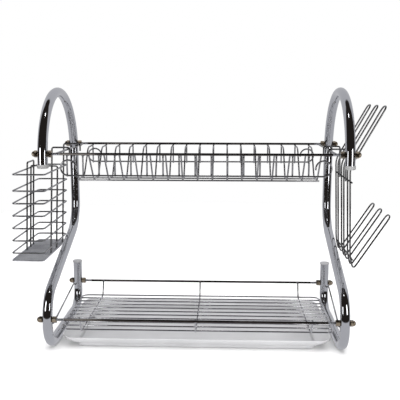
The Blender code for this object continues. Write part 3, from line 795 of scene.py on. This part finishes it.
def make_tray():
    """A stepped drip tray: every row is (inset in x, inset in y, z, corner radius)."""
    low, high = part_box("drip_tray")
    center = (low + high) / 2
    half_x, half_y = (high.x - low.x) / 2, (high.y - low.y) / 2
    floor = low.z
    outside = [(0.0300, 0.0200, floor, 0.008), (0.0225, 0.0120, floor, 0.012),
               (0.0225, 0.0120, 0.0074, 0.012), (0.0120, 0.0060, 0.0080, 0.016),
               (0.0015, 0.0010, 0.0148, 0.020), (0.0015, 0.0010, 0.0162, 0.020),
               (0.0000, 0.0000, 0.0166, 0.021), (0.0000, 0.0000, 0.0177, 0.021)]
    inside = [(0.0022, 0.0018, 0.0177, 0.019), (0.0035, 0.0030, 0.0165, 0.018),
              (0.0135, 0.0075, 0.0097, 0.015), (0.0241, 0.0136, 0.0090, 0.0105),
              (0.0245, 0.0140, floor + TRAY_THICKNESS, 0.0105),
              (0.0320, 0.0220, floor + TRAY_THICKNESS, 0.007)]
    rings = []
    for inset_x, inset_y, z, corner in softened(outside + inside, *TRAY_CURVE):
        ring = []
        for sx, sy, start in ((1, 1, 0), (-1, 1, 90), (-1, -1, 180), (1, -1, 270)):
            spot = (center.x + sx * (half_x - inset_x - corner),
                    center.y + sy * (half_y - inset_y - corner))
            ring += [Vector((x, y, z)) for x, y in arc(spot, corner, start, start + 90)]
        rings.append(ring)
    shape = Shape()
    shape.loft(rings)
    shape.piece("fine_drip_tray", [TRAY_PLASTIC], "tray", ["drip_tray"])


# ---- cutlery basket ----------------------------------------------------------------------
def hook_points(leg_x, y, sign):
    """Corners of a hook from a leg, over the rack's side wire and down behind it."""
    wire = middle("rack_side_wire_right")
    over_z = wire.z + THICK_WIRE_R + HOOK_GAP + WIRE_R
    inner_x = sign * (wire.x - THICK_WIRE_R - HOOK_GAP - WIRE_R)
    return [(leg_x, y, over_z), (inner_x, y, over_z), (inner_x, y, HOOK_END_Z)]


def basket_x(x, z):
    """Shift a place in the basket outwards with its depth, as the basket leans."""
    depth = (BASKET_RING_Z[-1] - z) / (BASKET_RING_Z[-1] - BASKET_FLOOR_Z)
    return x - BASKET_LEAN * depth


def make_basket():
    """Wire cage: rings, one long hook wire and a divider loop, welded where they cross."""
    shape = Shape()
    front, back = BASKET_Y
    low = BASKET_FLOOR_Z - WIRE_R
    first, last = BASKET_HOOK_Y
    near, far = BASKET_HANDLE_Y
    y_outer, y_inner = BASKET_DIVIDER_Y
    for z in BASKET_RING_Z:
        out_x, in_x = (basket_x(x, z) for x in BASKET_X)
        corners = [(out_x, front, z), (in_x, front, z), (in_x, back, z), (out_x, back, z)]
        add_loop(shape, rounded(corners, WIRE_BEND_R, closed=True), WIRE_R)
        for y in (near, far, y_outer):
            add_weld(shape, (out_x + BASKET_LAP / 2, y, z))
        for y in (first, last, y_inner):
            add_weld(shape, (in_x - BASKET_LAP / 2, y, z))

    def outer(y, z):
        return (basket_x(BASKET_X[0] + BASKET_LAP, z), y, z)

    def inner(y, z):
        return (basket_x(BASKET_X[1] - BASKET_LAP, z), y, z)

    hook_x = inner(0.0, middle("rack_side_wire_left").z)[0]
    corners = hook_points(hook_x, first, -1.0)[::-1]
    corners += [inner(first, low), outer(near, low), outer(near, BASKET_HANDLE_Z),
                outer(far, BASKET_HANDLE_Z), outer(far, low), inner(last, low)]
    corners += hook_points(hook_x, last, -1.0)
    legs = Shape()
    add_wire(legs, rounded(corners, BASKET_BEND_R), LEG_WIRE_R)
    loop = [outer(y_outer, low), inner(y_inner, low),
            inner(y_inner, BASKET_DIVIDER_Z), outer(y_outer, BASKET_DIVIDER_Z)]
    add_loop(legs, rounded(loop, BASKET_BEND_R, closed=True), LEG_WIRE_R)
    shape.piece("fine_cutlery_basket", [RACK_CHROME_PAINTED_SHADE], "basket", ["cutlery_basket"])
    legs.piece("fine_basket_legs", [LEG_CHROME_PAINTED_SHADE], "basket")


def make_basket_floor():
    """A woven wire mesh held in a rolled rim."""
    low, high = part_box("basket_floor")
    rim_z = (low.z + high.z) / 2
    out_x, in_x = (basket_x(x, rim_z) for x in BASKET_X)
    front, back = BASKET_Y
    shape = Shape()
    corners = [(x, y, rim_z)
               for x, y in ((out_x, front), (in_x, front), (in_x, back), (out_x, back))]
    add_loop(shape, rounded(corners, WIRE_BEND_R, closed=True), MESH_RIM_R)
    columns = int((in_x - out_x) / MESH_PITCH_X)
    rows = int((back - front) / MESH_PITCH_Y)
    step_x, step_y = (in_x - out_x) / columns, (back - front) / rows
    for i in range(1, columns):
        x = out_x + step_x * i
        path = [(x, front, rim_z)]
        for j in range(1, rows):
            lift = MESH_WIRE_R * (1 if (i + j) % 2 else -1)
            path.append((x, front + step_y * j, rim_z + lift))
        add_wire(shape, path + [(x, back, rim_z)], MESH_WIRE_R, MESH_SIDES)
    for j in range(1, rows):
        y = front + step_y * j
        path = [(out_x, y, rim_z)]
        for i in range(1, columns):
            lift = MESH_WIRE_R * (-1 if (i + j) % 2 else 1)
            path.append((out_x + step_x * i, y, rim_z + lift))
        add_wire(shape, path + [(in_x, y, rim_z)], MESH_WIRE_R, MESH_SIDES)
    shape.piece("fine_basket_floor", [MESH_STEEL], "basket", ["basket_floor"])


# ---- cup holder --------------------------------------------------------------------------
def cup_x(z):
    """Place of the slightly leaning upright legs at a height."""
    low_z = CUP_ROOT[1] + CUP_ROOT_RISE
    return CUP_X + (CUP_TOP_X - CUP_X) * (z - low_z) / (CUP_BEND_Z - low_z)


def cup_loop(y):
    """A narrow closed loop of wire: upper prong, upright legs and lower prong."""
    profile = [CUP_TIP, (CUP_TOP_X, CUP_BEND_Z), (CUP_X, CUP_ROOT[1] + CUP_ROOT_RISE),
               CUP_ROOT, CUP_LOW_TIP]
    right = [(x, y + CUP_HALF_WIDTH, z) for x, z in profile]
    left = [(x, y - CUP_HALF_WIDTH, z) for x, z in reversed(profile)]
    return rounded(right + left, CUP_BEND_R, closed=True)


def make_cup_holder():
    """Three wire loops on two cross wires, with two hooks over the side wire."""
    shape = Shape()
    y_front = CUP_UNIT_Y[0] - CUP_HALF_WIDTH - CUP_OVERRUN
    y_back = CUP_UNIT_Y[-1] + CUP_HALF_WIDTH + CUP_OVERRUN
    for z, shift in CUP_CROSS_WIRES:
        x = cup_x(z) + shift
        add_wire(shape, [(x, y_front, z), (x, 0.0, z), (x, y_back, z)], WIRE_R)
        for y in CUP_UNIT_Y:
            for sign in (-1.0, 1.0):
                add_weld(shape, (cup_x(z) + shift / 2, y + sign * CUP_HALF_WIDTH, z))
    for y in CUP_UNIT_Y:
        add_loop(shape, cup_loop(y), WIRE_R)
    for y in CUP_HOOK_Y:
        corners = [(cup_x(CUP_HOOK_FOOT_Z), y, CUP_HOOK_FOOT_Z)]
        corners += hook_points(cup_x(middle("rack_side_wire_right").z), y, 1.0)
        add_wire(shape, rounded(corners, CUP_HOOK_BEND_R), WIRE_R)
        z, shift = CUP_CROSS_WIRES[1]
        add_weld(shape, (cup_x(z) + shift / 2, y, z))
    shape.piece("fine_cup_holder", [LEG_CHROME_PAINTED_SHADE], "cup_holder", ["cup_holder"])


# ---- studio ------------------------------------------------------------------------------
def make_floor():
    """A pale disc for the rack to stand on; chrome mirrors the surroundings instead of it."""
    center = Vector((0.0, 0.0, 0.0))
    rings = [[center]] + [circle(center, ALONG, BACK, r, FLOOR_SIDES) for r in FLOOR_RINGS]
    shape = Shape()
    shape.loft(rings, caps=False)
    floor = add_object("floor", shape.mesh("floor"))
    paper = node_material("floor_paper", (0.86, 0.86, 0.86), (0.89, 0.89, 0.89), 0.0,
                          (0.75, 0.85), 4.0, 300.0, 0.00005)
    floor.data.materials.append(paper)
    floor.visible_glossy = False


def make_world():
    """Pale surroundings for the chrome to mirror, dark in front and overhead."""
    world = bpy.data.worlds.new("studio")
    bpy.context.scene.world = world
    world.use_nodes = True
    tree = world.node_tree
    background = tree.nodes["Background"]
    coordinates = tree.nodes.new("ShaderNodeTexCoord")
    split = tree.nodes.new("ShaderNodeSeparateXYZ")
    tree.links.new(coordinates.outputs["Generated"], split.inputs["Vector"])

    def smooth(source, edges, values):
        node = tree.nodes.new("ShaderNodeMapRange")
        node.interpolation_type = "SMOOTHSTEP"
        set_range(node, edges, values)
        tree.links.new(source, node.inputs["Value"])
        return node.outputs["Result"]

    def rise(source, edges):
        return smooth(source, edges, (0.0, 1.0))

    def fall(source, edges):
        return smooth(source, edges, (1.0, 0.0))

    def calculate(operation, *values):
        node = tree.nodes.new("ShaderNodeMath")
        node.operation = operation
        for k, value in enumerate(values):
            tree.links.new(value, node.inputs[k])
        return node.outputs["Value"]

    def mix(factor, first, second):
        node = tree.nodes.new("ShaderNodeMix")
        node.data_type = "RGBA"
        tree.links.new(factor, node.inputs["Factor"])
        for label, value in (("A", first), ("B", second)):
            if isinstance(value, tuple):
                node.inputs[label].default_value = (*value, 1.0)
            else:
                tree.links.new(value, node.inputs[label])
        return node.outputs["Result"]

    x, y, z = (split.outputs[label] for label in "XYZ")
    bottom, top = ((edge - DARK_SOFT, edge + DARK_SOFT) for edge in DARK_Z)
    band = calculate("MULTIPLY", rise(z, bottom), fall(z, top))
    room = calculate("MULTIPLY", fall(y, DARK_Y), band)
    narrow = fall(calculate("ABSOLUTE", x), OVERHEAD_X)
    above = calculate("MULTIPLY", fall(y, OVERHEAD_Y), rise(z, OVERHEAD_Z))
    overhead = calculate("MULTIPLY", narrow, above)
    colour = mix(calculate("MAXIMUM", room, overhead), PALE, DARK)
    rays = tree.nodes.new("ShaderNodeLightPath")
    final = mix(rays.outputs["Is Camera Ray"], colour, WHITE)
    tree.links.new(final, background.inputs["Color"])


def add_light(name, place_at, target, size, power, mirrored):
    """A rectangular area light; mirrored says whether chrome shows it."""
    data = bpy.data.lights.new(name, "AREA")
    data.shape = "RECTANGLE"
    data.size, data.size_y = size
    data.energy = power
    light = add_object(name, data)
    light.location = place_at
    light.rotation_euler = (Vector(target) - Vector(place_at)).to_track_quat("-Z", "Y").to_euler()
    light.visible_camera = False
    light.visible_glossy = mirrored


def make_studio():
    """Floor, surroundings, lights and camera."""
    make_floor()
    make_world()
    for light in LIGHTS:
        add_light(*light)
    data = bpy.data.cameras.new("camera")
    data.lens = CAMERA_LENS
    camera = add_object("camera", data)
    camera.location = CAMERA_PLACE
    camera.rotation_mode = "XYZ"
    camera.rotation_euler = (math.pi / 2 - CAMERA_PITCH, 0.0, CAMERA_YAW)
    bpy.context.scene.camera = camera
    bpy.context.scene.view_settings.view_transform = "Standard"


make_frame()
make_plate_rack()
make_shelf()
make_side_guards()
make_tray()
make_basket()
make_basket_floor()
make_cup_holder()
make_studio()
